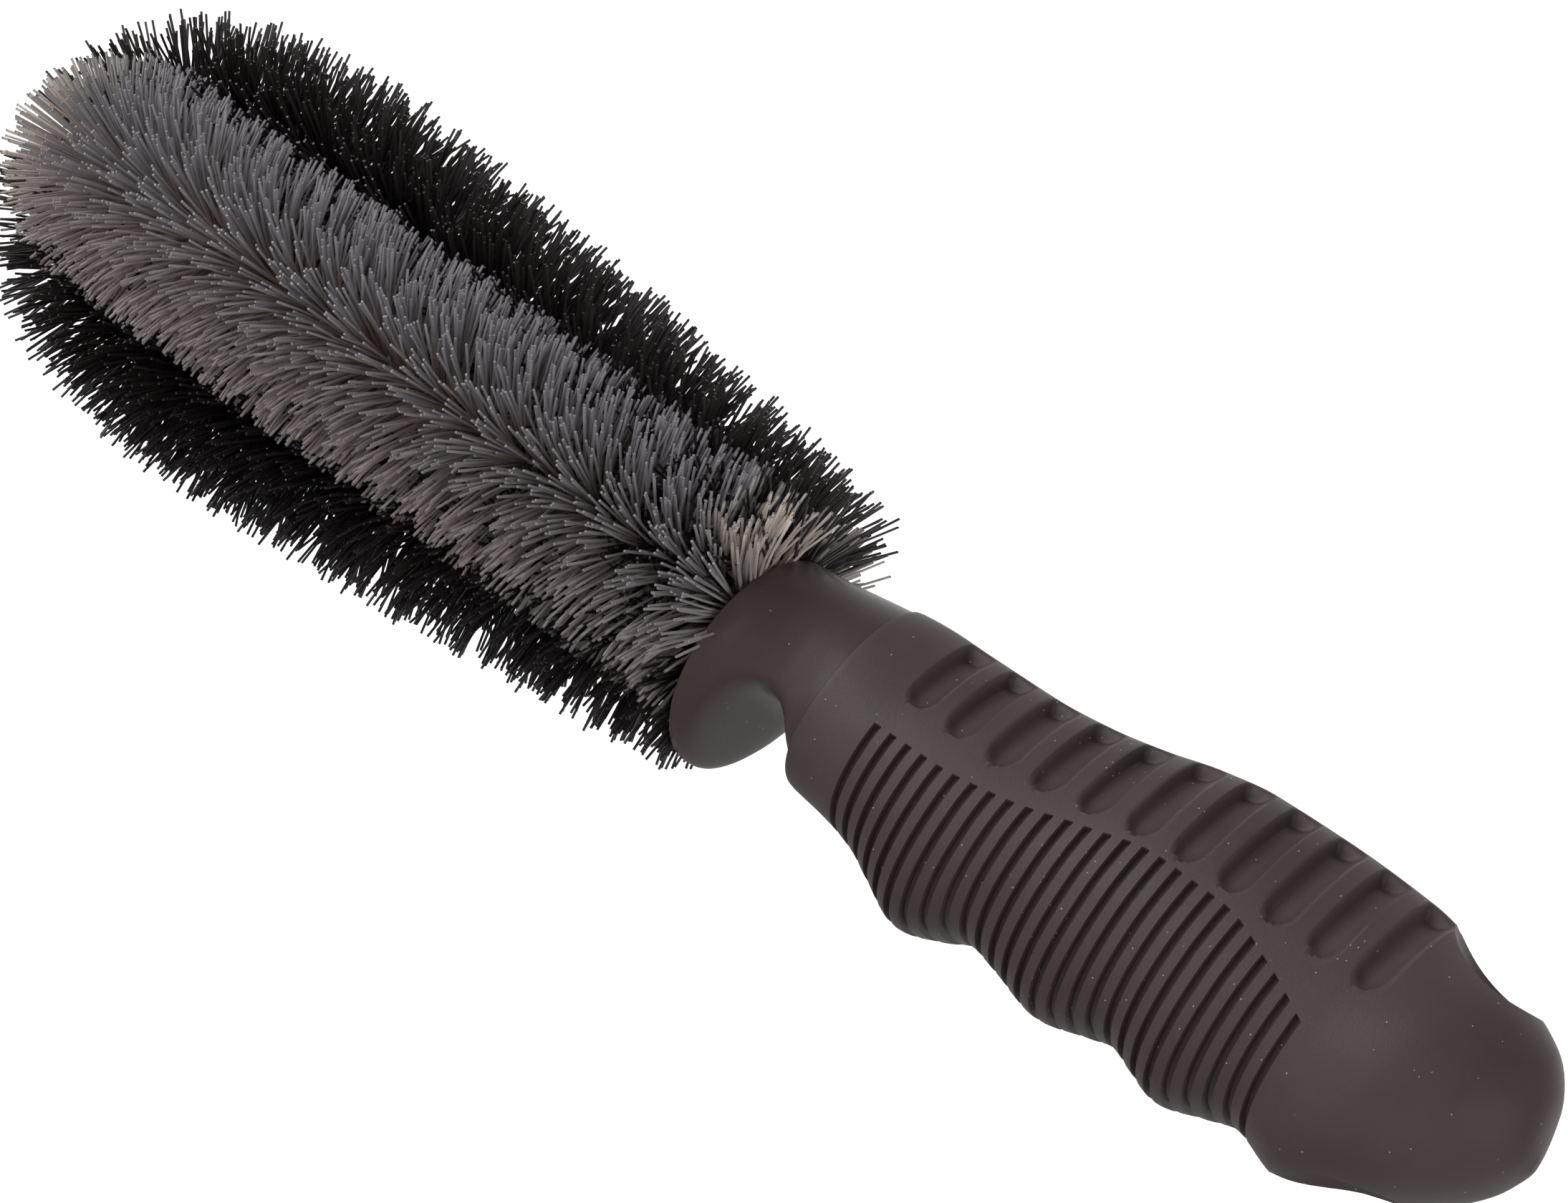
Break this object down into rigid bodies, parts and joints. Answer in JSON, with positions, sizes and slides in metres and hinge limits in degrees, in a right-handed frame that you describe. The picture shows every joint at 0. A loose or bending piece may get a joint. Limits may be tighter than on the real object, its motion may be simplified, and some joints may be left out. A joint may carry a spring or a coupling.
{
  "type": "wheel brush",
  "caption": "Long car wheel brush: crossed teardrop loops of stiff black and grey bristle on twisted wire, in a moulded handle with a ribbed soft grip.",
  "frame": {"origin": "the middle of the brush's overall length, on its centre line", "axes": "+X along the brush's centre line towards the bristled tip, +Z towards the handle's spine (the thumb side), +Y to the side"},
  "size_m": [0.3461, 0.082, 0.082],
  "materials": {
    "hard_plastic": "dark brown-grey moulded plastic, satin",
    "soft_rubber": "dark brown-grey soft elastomer, matt",
    "galvanised_wire": "drawn and galvanised steel wire",
    "black_bristle": "stiff black nylon filament",
    "grey_bristle": "stiff blue-grey nylon filament"
  },
  "bodies": {
    "root": {"handle_core": "hard_plastic", "soft_grip": "soft_rubber", "black_wire_a": "galvanised_wire", "black_wire_b": "galvanised_wire", "grey_wire_a": "galvanised_wire", "grey_wire_b": "galvanised_wire", "black_bristles_upper": "black_bristle", "black_bristles_lower": "black_bristle", "grey_bristles_near": "grey_bristle", "grey_bristles_far": "grey_bristle", "black_bristles_tip": "black_bristle"}
  },
  "joints": []
}
